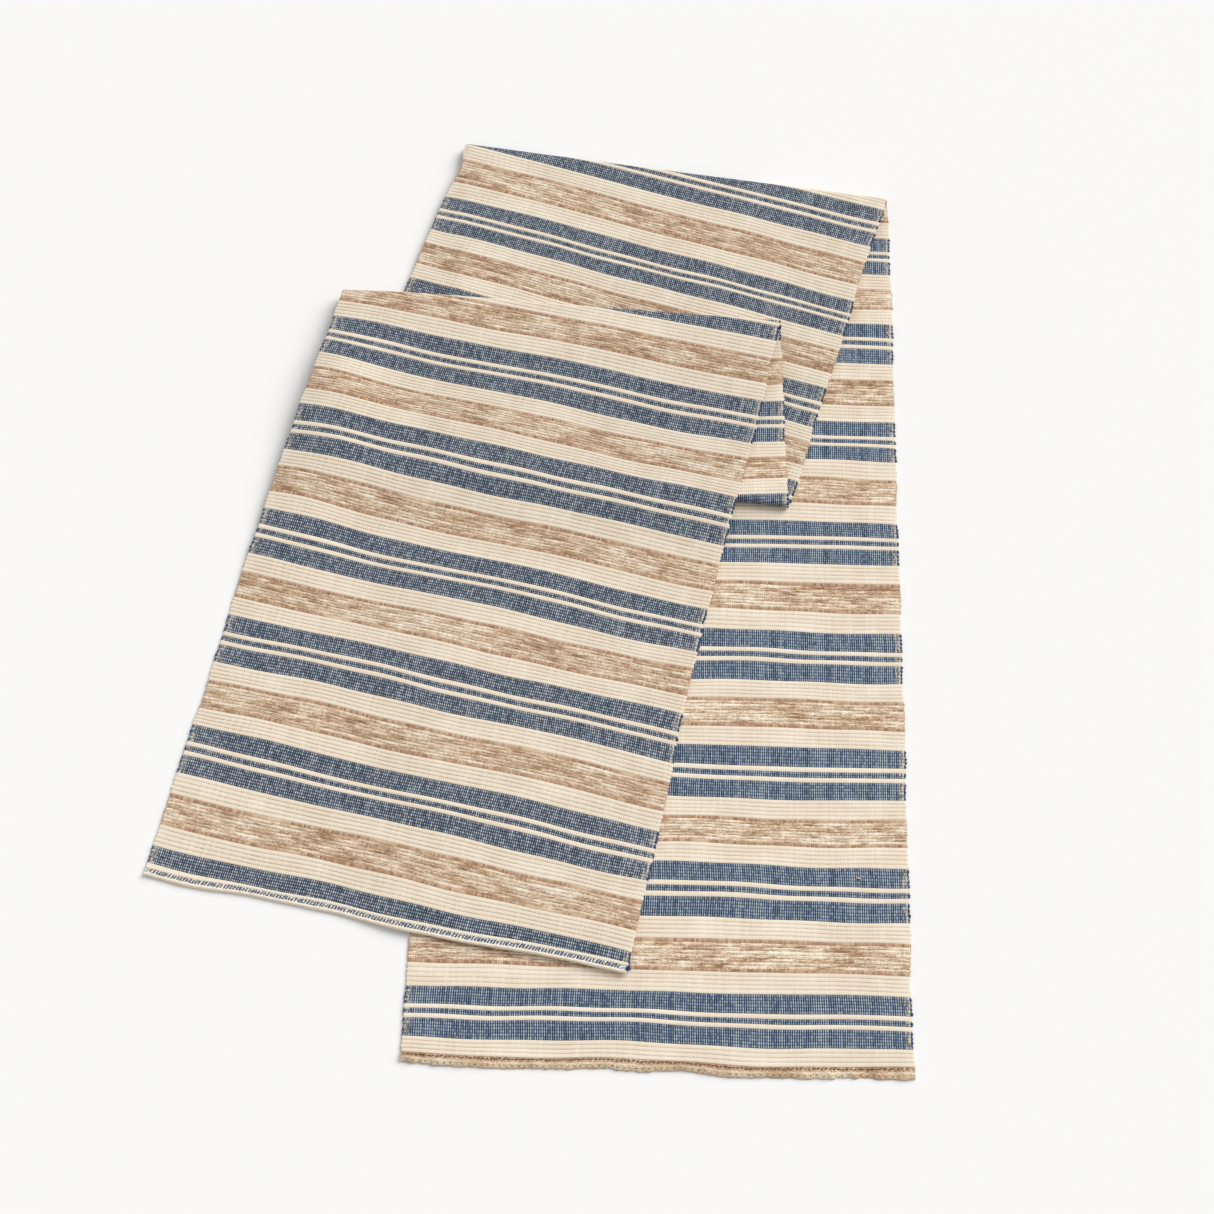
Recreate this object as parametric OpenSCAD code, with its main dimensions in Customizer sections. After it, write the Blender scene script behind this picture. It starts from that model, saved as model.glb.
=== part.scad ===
// Handwoven table runner, folded zigzag into four layers that lie on each other.
// The cloth is one strip. In a layer's own frame x runs along the cloth, away from the base hem,
// and y runs across it, with the right selvedge at +y. Layers count from 0, the base, to 3, the
// top one, and fold n joins layers n - 1 and n.

/* [Cloth] */
// Width of the cloth from selvedge to selvedge
cloth_w = 356; // [300:1:400]
// Thickness of the woven cloth
cloth_t = 1.2; // [0.8:0.1:1.4]
// Width of the firm selvedge along each long side
selvedge_w = 5; // [3:0.5:8]

/* [Folding] */
// Length of the base layer, from its hem to the far fold
base_len = 791; // [770:1:820]
// Length of the second layer, between the far and near folds
second_len = 322; // [310:1:340]
// Length of the third layer, between the near and upper folds
third_len = 162.5; // [150:0.5:180]
// Length of the top layer, from the upper fold to its hem
top_len = 550; // [500:1:560]
// Direction of the base layer, anticlockwise from +X
base_heading = 88.2; // [86:0.1:91]
// How far the far fold is out of square with the cloth
far_fold_skew = 7.65; // [6:0.05:9]
// How far the near fold is out of square with the cloth
near_fold_skew = 8.7; // [8:0.1:10]
// How far the upper fold is out of square with the cloth
upper_fold_skew = 6.4; // [5:0.1:7]

/* [Stripes] */
// Distance from the base hem to the first indigo stripe
first_stripe = 20.5; // [15:0.5:30]
// Mean length of one stripe repeat
repeat_len = 94; // [90:0.1:100]
// Share of a repeat in each wide indigo stripe
wide_indigo = 0.153; // [0.12:0.001:0.17]
// Share of a repeat in the narrow indigo stripe between the pinstripes
narrow_indigo = 0.045; // [0.03:0.001:0.06]
// Share of a repeat in each cream pinstripe
pinstripe = 0.039; // [0.03:0.001:0.05]
// Share of a repeat in each plain cream band
cream_band = 0.165; // [0.14:0.001:0.19]
// Share of a repeat in each brown line beside the tan band
brown_line = 0.025; // [0.015:0.001:0.03]

/* [Hems] */
// Width of the rolled hem at each end
hem_w = 8; // [6:0.5:12]
// Thickness of the rolled hem
hem_t = 2.8; // [2.4:0.1:3.6]
// Distance from one hem stitch to the next
stitch_pitch = 7; // [5:0.5:12]
// Distance from the inner side of a hem to its stitches
stitch_inset = 2; // [1:0.5:4]
// Length of thread that shows in each stitch
stitch_len = 3; // [2:0.5:4]
// Thickness of the sewing thread
thread_d = 0.7; // [0.5:0.1:1]
// Size of the thread knot at the top hem's right corner
knot_d = 4; // [3:0.5:6]

/* [Hidden] */
$fn = 48;

indigo = "#4a5c78";
cream = "#e6d8bd";
tan = "#bd9872";
brown = "#8d6450";
thread = "#8a5f45";
knot_blue = "#20406b";

// How long each repeat's indigo stripes and its pale bands are, as shares of the mean ones, from
// the base hem to the top hem.
beat = [[0.95, 1.07], [1.03, 0.99], [1.04, 1.04], [1.07, 1.11], [0.96, 1.06],
        [0.92, 1.06], [0.95, 0.95], [0.89, 1.06], [0.97, 1.06], [0.88, 0.98],
        [0.98, 0.97], [0.96, 0.92], [0.93, 1.08], [0.98, 1.06], [0.98, 0.91],
        [1.03, 1.04], [0.99, 1], [1.01, 1.04], [1.01, 1.08], [0.99, 1]];

// How far a stripe leans along the cloth for each millimetre across it: [distance from hem, lean].
weft_lean = [[0, 0], [600, 0], [830, 0.014], [1000, 0.017], [1300, 0.026], [1450, 0.033], [1830, 0.024]];

lens = [base_len, second_len, third_len, top_len];
skews = [0, far_fold_skew, near_fold_skew, upper_fold_skew];
half_w = cloth_w / 2;

// Heights of the layers' undersides: [x along the layer, height].
rest_gap = 0.3;
second_start = 7.4;
third_height = 7.5;
top_start = 15;
ramp = [178, 300];
on_base = cloth_t + rest_gap;
past_end = 60;
second_end = second_len + half_w * tan(near_fold_skew);
profiles = [
    [[-past_end, 0], [base_len + past_end, 0]],
    [[-past_end, second_start], [0, second_start], [second_end, on_base], [second_end + past_end, on_base]],
    [[-past_end, third_height], [third_len + past_end, third_height]],
    [[-past_end, top_start], [ramp[0], top_start], [ramp[1], on_base], [top_len + past_end, on_base]]
];
tall = 40;
cut_below = 1;

// Where each layer starts and which way it runs, seen from above. A fold mirrors the cloth.
function side(i) = i % 2 == 1 ? 1 : -1;
function unit(a) = [cos(a), sin(a)];
function fold_slant(n) = heading(n - 1) + side(n - 1) * (90 + skews[n]);
function heading(i) = i == 0 ? base_heading : 2 * fold_slant(i) - heading(i - 1);
function start(i) = i == 0 ? [0, 0] : start(i - 1) + lens[i - 1] * unit(heading(i - 1));
function place(i, x, y) = start(i) + x * unit(heading(i)) + y * unit(heading(i) + side(i) * 90);

// A fold turns from the underside of the layer below to the upper side of the layer above.
function fold_low(n) = lookup(lens[n - 1], profiles[n - 1]);
function fold_high(n) = lookup(0, profiles[n]) + cloth_t;
function turn_r(n) = (fold_high(n) - fold_low(n)) / 2;
function turn_extra(n) = PI * (turn_r(n) - cloth_t / 2) - 2 * turn_r(n);
function fold_half(n) = half_w / cos(skews[n]);

// Length of cloth from the base hem to the start of layer i.
function along(i) = i == 0 ? 0 : along(i - 1) + lens[i - 1] + turn_extra(i);

// The origin is under the middle of the folded runner, worked out from its outermost corners.
base_corner = place(0, 0, half_w);
top_corner = place(3, top_len, -half_w);
far_left = start(1) - fold_half(1) * unit(fold_slant(1));
far_right = start(1) + fold_half(1) * unit(fold_slant(1));
middle = [(top_corner.x + far_right.x) / 2, (base_corner.y + far_left.y) / 2];

// The stripes of one repeat, in order.
kinds = ["indigo", "pin", "indigo", "pin", "indigo", "cream", "brown", "tan", "brown", "cream"];
tan_band = 1 - 2 * (wide_indigo + pinstripe + cream_band + brown_line) - narrow_indigo;
shares = [wide_indigo, pinstripe, narrow_indigo, pinstripe, wide_indigo,
          cream_band, brown_line, tan_band, brown_line, cream_band];
indigo_count = 5;
repeats = len(beat);
function beat_of(k, j) = k < 0 ? 1 : beat[k][j < indigo_count ? 0 : 1];
function stripe_len(k, j) = repeat_len * shares[j] * beat_of(k, j);
function stripe_start(k, j) = j > 0 ? stripe_start(k, j - 1) + stripe_len(k, j - 1)
    : k < 0 ? first_stripe - repeat_len
    : k == 0 ? first_stripe
    : stripe_start(k - 1, len(shares) - 1) + stripe_len(k - 1, len(shares) - 1);
function leaning(v, y) = v + y * lookup(v, weft_lean);

// Moves children from layer i's own frame to their place.
module on_layer(i) {
    translate([start(i).x - middle.x, start(i).y - middle.y, 0])
        rotate([0, 0, heading(i)])
            mirror([0, 1 - i % 2, 0])
                children();
}

// Outline of layer i between the turns or hem at its ends.
module layer_outline(i) {
    first = [for (y = [-half_w, half_w])
        i == 0 ? hem_w : turn_r(i) / cos(skews[i]) - y * tan(skews[i])];
    last = [for (y = [-half_w, half_w])
        i == 3 ? top_len - hem_w
            : lens[i] - turn_r(i + 1) / cos(skews[i + 1]) - y * tan(skews[i + 1])];
    polygon([[first[0], -half_w], [last[0], -half_w], [last[1], half_w], [first[1], half_w]]);
}

// Layer i as one sheet, bent as its profile says and longer than its outline.
module layer_sheet(i) {
    under = profiles[i];
    upper = [for (j = [len(under) - 1:-1:0]) under[j] + [0, cloth_t]];
    rotate([90, 0, 0])
        linear_extrude(cloth_w, center = true)
            polygon(concat(under, upper));
}

// The part of layer i that lies under the children's 2D shape.
module layer_piece(i) {
    on_layer(i)
        intersection() {
            layer_sheet(i);
            translate([0, 0, -cut_below])
                linear_extrude(tall)
                    intersection() {
                        layer_outline(i);
                        children();
                    }
        }
}

// Every stripe of one kind in layer i, between the two selvedges.
module stripes(i, kind) {
    inner = half_w - selvedge_w;
    layer_piece(i)
        for (k = [-1:repeats - 1], j = [0:len(kinds) - 1])
            if (kinds[j] == kind) {
                from = stripe_start(k, j);
                to = from + stripe_len(k, j);
                polygon([for (c = [[from, -inner], [to, -inner], [to, inner], [from, inner]])
                    [leaning(c[0], c[1]) - along(i), c[1]]]);
            }
}

module indigo_bands(i) {
    color(indigo) stripes(i, "indigo");
}

module pinstripes(i) {
    color(cream) stripes(i, "pin");
}

module cream_bands(i) {
    color(cream) stripes(i, "cream");
}

module tan_bands(i) {
    color(tan) stripes(i, "tan");
}

module brown_lines(i) {
    color(brown) stripes(i, "brown");
}

// The firm edge of layer i, left or right.
module selvedge(i, right) {
    color(cream)
        layer_piece(i)
            translate([-past_end, right ? half_w - selvedge_w : -half_w])
                square([lens[i] + 2 * past_end, selvedge_w]);
}

// The half tube of cloth at fold n, open towards the layers that it joins.
module fold_turn(n) {
    r = turn_r(n);
    color(cream)
        translate([start(n).x - middle.x, start(n).y - middle.y, fold_low(n) + r])
            rotate([0, 0, fold_slant(n)])
                rotate([90, 0, 90])
                    linear_extrude(2 * fold_half(n), center = true)
                        difference() {
                            translate([side(n) * -r, 0]) circle(r);
                            translate([side(n) * -r, 0]) circle(r - cloth_t);
                            translate([side(n) * -2 * r - r, -2 * r]) square([2 * r, 4 * r]);
                        }
}

// A rolled hem across the end of layer i, from x = at to at + hem_w.
module hem(i, at) {
    round_r = hem_t / 2;
    color(tan)
        on_layer(i)
            translate([at, 0, lookup(at, profiles[i])])
                rotate([90, 0, 0])
                    linear_extrude(cloth_w, center = true)
                        union() {
                            translate([round_r, 0]) square([hem_w - hem_t, hem_t]);
                            translate([round_r, round_r]) circle(round_r);
                            translate([hem_w - round_r, round_r]) circle(round_r);
                        }
}

// The row of stitches that lies on a hem.
module hem_stitches(i, at) {
    count = floor((cloth_w - 2 * selvedge_w) / stitch_pitch);
    color(thread)
        on_layer(i)
            for (s = [0:count - 1])
                translate([at, (s - count / 2) * stitch_pitch, lookup(at, profiles[i]) + hem_t + thread_d / 2])
                    rotate([-90, 0, 0])
                        cylinder(h = stitch_len, d = thread_d, $fn = 16);
}

// The knot that ends the sewing thread at the top hem's right corner.
module corner_knot() {
    color(knot_blue)
        on_layer(3)
            translate([top_len - hem_w / 2, half_w + knot_d / 2, on_base + knot_d / 2])
                sphere(d = knot_d);
}

indigo_bands(0);  // base_indigo_bands
pinstripes(0);  // base_pinstripes
cream_bands(0);  // base_cream_bands
tan_bands(0);  // base_tan_bands
brown_lines(0);  // base_brown_lines
selvedge(0, false);  // base_left_selvedge
selvedge(0, true);  // base_right_selvedge
indigo_bands(1);  // second_indigo_bands
pinstripes(1);  // second_pinstripes
cream_bands(1);  // second_cream_bands
tan_bands(1);  // second_tan_bands
brown_lines(1);  // second_brown_lines
selvedge(1, false);  // second_left_selvedge
selvedge(1, true);  // second_right_selvedge
indigo_bands(2);  // third_indigo_bands
pinstripes(2);  // third_pinstripes
cream_bands(2);  // third_cream_bands
tan_bands(2);  // third_tan_bands
brown_lines(2);  // third_brown_lines
selvedge(2, false);  // third_left_selvedge
selvedge(2, true);  // third_right_selvedge
indigo_bands(3);  // top_indigo_bands
pinstripes(3);  // top_pinstripes
cream_bands(3);  // top_cream_bands
tan_bands(3);  // top_tan_bands
brown_lines(3);  // top_brown_lines
selvedge(3, false);  // top_left_selvedge
selvedge(3, true);  // top_right_selvedge
fold_turn(1);  // far_fold_turn
fold_turn(2);  // near_fold_turn
fold_turn(3);  // upper_fold_turn
hem(0, 0);  // base_hem
hem_stitches(0, hem_w - stitch_inset);  // base_hem_stitches
hem(3, top_len - hem_w);  // top_hem
hem_stitches(3, top_len - hem_w + stitch_inset);  // top_hem_stitches
corner_knot();  // top_corner_knot
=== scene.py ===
"""Handwoven table runner, folded zigzag into four layers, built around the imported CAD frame.

The cloth is one surface, given in its own coordinates: u across it, towards the right selvedge, and
v along it, from the base hem. cloth() puts a point of it in the row frame. All lengths are metres.
"""
import math

import bpy
import numpy as np
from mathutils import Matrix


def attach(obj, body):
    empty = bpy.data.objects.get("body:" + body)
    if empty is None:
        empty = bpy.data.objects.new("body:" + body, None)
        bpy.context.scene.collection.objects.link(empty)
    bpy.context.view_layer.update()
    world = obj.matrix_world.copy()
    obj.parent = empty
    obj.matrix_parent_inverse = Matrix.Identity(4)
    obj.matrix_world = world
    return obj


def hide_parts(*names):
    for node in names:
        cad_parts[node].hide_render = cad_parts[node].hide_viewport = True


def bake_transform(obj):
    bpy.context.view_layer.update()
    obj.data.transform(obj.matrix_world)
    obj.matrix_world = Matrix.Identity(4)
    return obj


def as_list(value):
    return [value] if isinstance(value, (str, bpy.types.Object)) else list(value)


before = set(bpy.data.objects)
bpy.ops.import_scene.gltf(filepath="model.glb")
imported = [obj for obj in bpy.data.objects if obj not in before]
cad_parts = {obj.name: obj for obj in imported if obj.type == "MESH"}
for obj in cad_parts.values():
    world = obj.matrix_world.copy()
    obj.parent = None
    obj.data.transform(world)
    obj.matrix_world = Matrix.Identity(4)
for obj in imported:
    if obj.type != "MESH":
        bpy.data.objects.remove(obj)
link = bpy.context.scene.collection.objects.link
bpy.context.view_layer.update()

# ---------------------------------------------------------------- the cloth's layout, as in the CAD
MM = 0.001
HALF_W = 178 * MM
SELVEDGE = 5 * MM
HEM = 8 * MM
LENGTHS = (791 * MM, 322 * MM, 162.5 * MM, 550 * MM)
SKEWS = tuple(math.radians(a) for a in (0, 7.65, 8.7, 6.4))
TURN_R = (None, 4.3 * MM, 3.37 * MM, 4.35 * MM)
CAD_THICK = 1.2 * MM
LAYERS = ("base", "second", "third", "top")
BODIES = ("base_layer", "second_layer", "third_layer", "top_layer")
TURNS = (None, "far_fold_turn", "near_fold_turn", "upper_fold_turn")


def side(i):
    return 1 if i % 2 else -1


def unit(angle):
    return np.array([math.cos(angle), math.sin(angle)])


headings, starts, along, extras = [math.radians(88.2)], [np.zeros(2)], [0.0], [0.0]
for n in (1, 2, 3):
    slant = headings[n - 1] + side(n - 1) * (math.pi / 2 + SKEWS[n])
    headings.append(2 * slant - headings[n - 1])
    starts.append(starts[n - 1] + LENGTHS[n - 1] * unit(headings[n - 1]))
    extras.append(math.pi * (TURN_R[n] - CAD_THICK / 2) - 2 * TURN_R[n])
    along.append(along[n - 1] + LENGTHS[n - 1] + extras[n])
DIRS = [unit(h) for h in headings]
CROSSES = [unit(h + side(i) * math.pi / 2) for i, h in enumerate(headings)]
TOTAL = along[3] + LENGTHS[3]

# Fold n: the direction along its line, towards the right, and the direction out past the fold.
ALONG_FOLD = [None] + [
    -math.sin(SKEWS[n]) * DIRS[n - 1] + math.cos(SKEWS[n]) * CROSSES[n - 1] for n in (1, 2, 3)
]
PAST_FOLD = [None] + [
    math.cos(SKEWS[n]) * DIRS[n - 1] + math.sin(SKEWS[n]) * CROSSES[n - 1] for n in (1, 2, 3)
]
CREASE = [None] + [along[n] - extras[n] / 2 for n in (1, 2, 3)]
HALF_TURN = [None] + [TURN_R[n] + extras[n] / 2 * math.cos(SKEWS[n]) for n in (1, 2, 3)]

base_right = starts[0] + HALF_W * CROSSES[0]
top_left = starts[3] + LENGTHS[3] * DIRS[3] - HALF_W * CROSSES[3]
reach = HALF_W / math.cos(SKEWS[1])
far_left = starts[1] - reach * ALONG_FOLD[1]
far_right = starts[1] + reach * ALONG_FOLD[1]
middle = np.array([(top_left[0] + far_right[0]) / 2, (base_right[1] + far_left[1]) / 2])
starts = [s - middle for s in starts]

# ---------------------------------------------------------------- heights of the layers
CELL = 2 * MM
GRID_X = np.arange(-0.36, 0.36 + CELL / 2, CELL)
GRID_Y = np.arange(-0.48, 0.48 + CELL / 2, CELL)
GX, GY = np.meshgrid(GRID_X, GRID_Y, indexing="ij")
LAID = 0.75 * MM  # middle of a layer that lies on the table
SPACING = 1.55 * MM  # from the middle of one layer to the next


def waves(a, b, seed, *scales):
    """A smooth random height: scales are (wavelength, height) pairs."""
    rng = np.random.default_rng(seed)
    total = 0
    for length, height in scales:
        for _ in range(4):
            turn, phase = rng.uniform(0, 2 * math.pi, 2)
            step = (a * math.cos(turn) + b * math.sin(turn)) * 2 * math.pi / length
            total = total + height / 2 * np.sin(step + phase)
    return total


def ease(x):
    x = np.clip(x, 0, 1)
    return x * x * (3 - 2 * x)


def local(i, x, y):
    """Plan coordinates in layer i's own frame: along the cloth and across it."""
    dx, dy = x - starts[i][0], y - starts[i][1]
    return dx * DIRS[i][0] + dy * DIRS[i][1], dx * CROSSES[i][0] + dy * CROSSES[i][1]


def covers(i):
    lx, ly = local(i, GX, GY)
    first = 0 if i == 0 else -ly * math.tan(SKEWS[i])
    last = LENGTHS[i] - (ly * math.tan(SKEWS[i + 1]) if i < 3 else 0)
    return (np.abs(ly) < HALF_W) & (lx > first) & (lx < last)


def behind_fold(n, x, y):
    """How far a plan point is inside fold n, and how far along the fold it is."""
    dx, dy = x - starts[n][0], y - starts[n][1]
    inside = -(dx * PAST_FOLD[n][0] + dy * PAST_FOLD[n][1])
    return inside, dx * ALONG_FOLD[n][0] + dy * ALONG_FOLD[n][1]


def shifted(h, axis, cells):
    """Yields h moved along an axis by each number of cells, its border repeated."""
    padded = np.pad(h, [(cells,) * 2 if a == axis else (0, 0) for a in (0, 1)], "edge")
    for k in range(2 * cells + 1):
        yield padded[tuple(slice(k, k + h.shape[a]) if a == axis else slice(None) for a in (0, 1))]


def blur(h, sigma):
    cells = int(3 * sigma / CELL)
    taps = np.exp(-0.5 * (np.arange(-cells, cells + 1) * CELL / sigma) ** 2)
    taps /= taps.sum()
    for axis in (0, 1):
        h = sum(t * moved for t, moved in zip(taps, shifted(h, axis, cells)))
    return h


def widen(h, radius):
    for axis in (0, 1):
        h = np.maximum.reduce(list(shifted(h, axis, int(radius / CELL))))
    return h


def settle(support, bridge, bend):
    """Lays a layer on what is below it: it stays level for the length bridge past a step, then
    comes down over about four times the length bend."""
    laid = np.maximum(blur(widen(support, bridge), bend), support)
    return np.maximum(blur(laid, 4 * MM), support)


# For each layer above the first: how far it bridges a step, and its bend.
STIFF = (None, (6 * MM, 8 * MM), (10 * MM, 10 * MM), (26 * MM, 17 * MM))

heights = []
for i in range(4):
    support = np.full(GX.shape, LAID - SPACING)
    for below, height in enumerate(heights):
        support = np.where(covers(below), np.maximum(support, height), support)
    lx, ly = local(i, GX, GY)
    if i == 0:
        h = np.full(GX.shape, LAID)
    else:
        h = settle(support, *STIFF[i]) + SPACING
        inside, across = behind_fold(i, GX, GY)
        loop = 2 * (TURN_R[i] - CAD_THICK / 2) - SPACING
        if i == 1:
            h += (loop - 0.8 * MM) * (1 - ease((inside - 6 * MM) / (260 * MM)))
        if i == 2:
            h += loop * (1 - 0.5 * ease((inside - 6 * MM) / (80 * MM)))
            h += 1.0 * MM * across / HALF_W * ease(inside / (150 * MM))
        if i == 3:
            puff = loop + 1.6 * MM + 1.4 * MM * across / HALF_W
            h += puff * (1 - ease((inside - 8 * MM) / (170 * MM)))
            held_up = ease((lx - 40 * MM) / (70 * MM)) * (1 - ease((lx - 180 * MM) / (150 * MM)))
            h += 6 * MM * held_up * ease((-ly - 90 * MM) / (88 * MM))
            lift = ease((lx - LENGTHS[3] + 60 * MM) / (60 * MM))
            h += 1.3 * MM * lift * ease((ly + 60 * MM) / (120 * MM))
    ripple = waves(GX, GY, 20 + i, (0.16, 0.35 * MM), (0.07, 0.12 * MM))
    edge = ease((np.abs(ly) - 0.10) / 0.078)
    h += (ripple + 0.5 * MM) * (0.25 + 0.75 * edge) * (0.6 if i == 0 else 1)
    heights.append(h)


def sampled(field, x, y):
    """Catmull-Rom sample of a height field."""
    fx = np.clip((x - GRID_X[0]) / CELL, 1, len(GRID_X) - 3.001)
    fy = np.clip((y - GRID_Y[0]) / CELL, 1, len(GRID_Y) - 3.001)
    ix, iy = fx.astype(int), fy.astype(int)

    def taps(f):
        return (
            f * (-0.5 + f * (1 - 0.5 * f)), 1 + f * f * (-2.5 + 1.5 * f),
            f * (0.5 + f * (2 - 1.5 * f)), f * f * (-0.5 + 0.5 * f),
        )

    wx, wy = taps(fx - ix), taps(fy - iy)
    return sum(
        wx[a] * wy[b] * field[ix + a - 1, iy + b - 1] for a in range(4) for b in range(4)
    )


def strays(n, u, v):
    """How far the cloth near fold n wanders to the right of its layer's straight line."""
    past = v - CREASE[n]
    if n == 1:
        pinched = np.exp(-(((past - 45 * MM) / (35 * MM)) ** 2)) * ease(-u / HALF_W)
        return np.where(past < 0, 1.4 * MM, 4 * MM * pinched)
    if n == 3:
        bend = 4 * MM * ease((past - 60 * MM) / (140 * MM))
        return -bend - 2.5 * MM * np.exp(-(((past - 300 * MM) / (90 * MM)) ** 2)) * (past > 0)
    return 0 * u


def cloth(u, v):
    """The middle of the cloth at u across it and v along it from the base hem, in the row frame."""
    out = np.empty(u.shape + (3,))
    middles = (along[1] + LENGTHS[1] / 2, along[2] + LENGTHS[2] / 2)
    nearest = 1 + (v > middles[0]) + (v > middles[1])
    for n in (1, 2, 3):
        mask = nearest == n
        uu, vv = u[mask], v[mask]
        cos, sin = math.cos(SKEWS[n]), math.sin(SKEWS[n])
        from_crease = np.abs((vv - CREASE[n]) * cos + uu * sin)
        calm = ease((from_crease - HALF_TURN[n]) / (25 * MM))
        wobble = waves(uu, vv * 1.6, 3, (0.17, 0.9 * MM), (0.06, 0.35 * MM))
        sway = waves(vv, uu * 0.2, 5, (0.13, 0.5 * MM), (0.045, 0.3 * MM))
        vv, uu = vv + wobble * calm, uu + (sway + strays(n, uu, vv)) * calm
        s = (vv - CREASE[n]) * cos + uu * sin
        turned = np.clip(s / HALF_TURN[n], -1, 1)
        t = -(vv - CREASE[n]) * sin + uu * cos + turned * extras[n] / 2 * sin
        rho = TURN_R[n] - CAD_THICK / 2
        phi = (turned + 1) * math.pi / 2
        past = np.where(
            np.abs(turned) < 1,
            -CAD_THICK / 2 - rho * (1 - np.sin(phi)),
            extras[n] / 2 * cos - np.abs(s),
        )
        x = starts[n][0] + t * ALONG_FOLD[n][0] + past * PAST_FOLD[n][0]
        y = starts[n][1] + t * ALONG_FOLD[n][1] + past * PAST_FOLD[n][1]
        low, high = sampled(heights[n - 1], x, y), sampled(heights[n], x, y)
        out[mask] = np.stack([x, y, (low + high) / 2 - (high - low) / 2 * np.cos(phi)], -1)
    return out


def cloth_frame(u, v):
    """The middle of the cloth with its directions across, along and out of face 1."""
    d = 0.25 * MM
    eu = cloth(u + d, v) - cloth(u - d, v)
    ev = cloth(u, v + d) - cloth(u, v - d)
    out = np.cross(eu, ev)
    return cloth(u, v), *[e / np.linalg.norm(e, axis=-1, keepdims=True) for e in (eu, ev, out)]


# ---------------------------------------------------------------- stripes and ribs
REPEAT = 94 * MM
FIRST_STRIPE = 20.5 * MM
# How long each repeat's indigo stripes and its pale bands are, as shares of the mean ones. A script
# worked these out from stripe places measured by comparing renders with the photo.
BEAT = ((0.95, 1.07), (1.03, 0.99), (1.04, 1.04), (1.07, 1.11), (0.96, 1.06),
        (0.92, 1.06), (0.95, 0.95), (0.89, 1.06), (0.97, 1.06), (0.88, 0.98),
        (0.98, 0.97), (0.96, 0.92), (0.93, 1.08), (0.98, 1.06), (0.98, 0.91),
        (1.03, 1.04), (0.99, 1), (1.01, 1.04), (1.01, 1.08), (0.99, 1))
WIDE, NARROW, PIN, CREAM, BROWN = 0.153, 0.045, 0.039, 0.165, 0.025
TAN = 1 - 2 * (WIDE + PIN + CREAM + BROWN) - NARROW
# Kind, share of a repeat, ribs in the stripe and rows of faces in a rib.
REPEAT_STRIPES = (
    ("indigo", WIDE, 6, 4), ("pin", PIN, 1, 6), ("indigo", NARROW, 2, 4), ("pin", PIN, 1, 6),
    ("indigo", WIDE, 6, 4), ("cream", CREAM, 5, 6), ("brown", BROWN, 1, 4), ("tan", TAN, 7, 4),
    ("brown", BROWN, 1, 4), ("cream", CREAM, 5, 6),
)
INDIGO_COUNT = 5
RIB_HEIGHT = {"indigo": 0.15, "pin": 0.27, "cream": 0.24, "brown": 0.18, "tan": 0.24}
CORE = 0.42 * MM
END_PITCH = 1.6 * MM
# How far a stripe leans along the cloth for each metre across it, at places along the cloth.
LEAN_AT = np.array([0, 600, 830, 1000, 1300, 1450, 1830]) * MM
LEAN = (0, 0, 0.014, 0.017, 0.026, 0.033, 0.024)


def leaning(u, v):
    """How far along the cloth the weft of stripe place v is, at u across."""
    return v + u * np.interp(v, LEAN_AT, LEAN)


def weft_at(u, along_cloth):
    """The stripe place of the weft that is this far along the cloth at u."""
    v = along_cloth
    for _ in range(4):
        v = along_cloth - u * np.interp(v, LEAN_AT, LEAN)
    return v


stripes = []  # kind, v0, v1, rows of v, ribs counted at each row
at, ribs_done = FIRST_STRIPE - REPEAT, 0
for beat in ((1, 1),) + BEAT:
    for place, (kind, share, ribs, rows) in enumerate(REPEAT_STRIPES):
        v1 = at + REPEAT * beat[place >= INDIGO_COUNT] * share
        steps = (1 - np.cos(np.pi * np.arange(rows) / rows)) / 2
        counted = np.append((np.arange(ribs)[:, None] + steps).ravel(), ribs)
        stripes.append((kind, at, v1, at + (v1 - at) * counted / ribs, ribs_done + counted))
        at, ribs_done = v1, ribs_done + ribs
ROW_V = np.concatenate([s[3] for s in stripes])
ROW_RIB = np.concatenate([s[4] for s in stripes])
STRIPE_STARTS = np.array([s[1] for s in stripes])
RIB_DEPTH = np.array([RIB_HEIGHT[s[0]] for s in stripes]) * MM
SLUBBY = np.array([1.0 if s[0] in ("tan", "brown") else 0.25 for s in stripes])


def ribs_at(v):
    return np.interp(v, ROW_V, ROW_RIB)


def stripe_at(v):
    return np.clip(np.searchsorted(STRIPE_STARTS, v, side="right") - 1, 0, len(stripes) - 1)


def woven_depth(u, v):
    """Half the thickness of the cloth: a round rib for each pick, thinner at the very edge."""
    which, ribs = stripe_at(v), ribs_at(v)
    rounded = np.sqrt(np.clip(1 - (2 * (ribs % 1) - 1) ** 2, 0, 1))
    slub = waves(u, np.floor(ribs) * 0.37, 9, (0.035, 0.3), (0.014, 0.25))
    swell = np.clip(1 + SLUBBY[which] * slub, 0.3, 1.25)
    into_edge = np.clip((np.abs(u) - HALF_W + SELVEDGE) / SELVEDGE, 0, 1)
    return (CORE + RIB_DEPTH[which] * rounded * swell) * (1 - 0.35 * into_edge**3)


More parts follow.
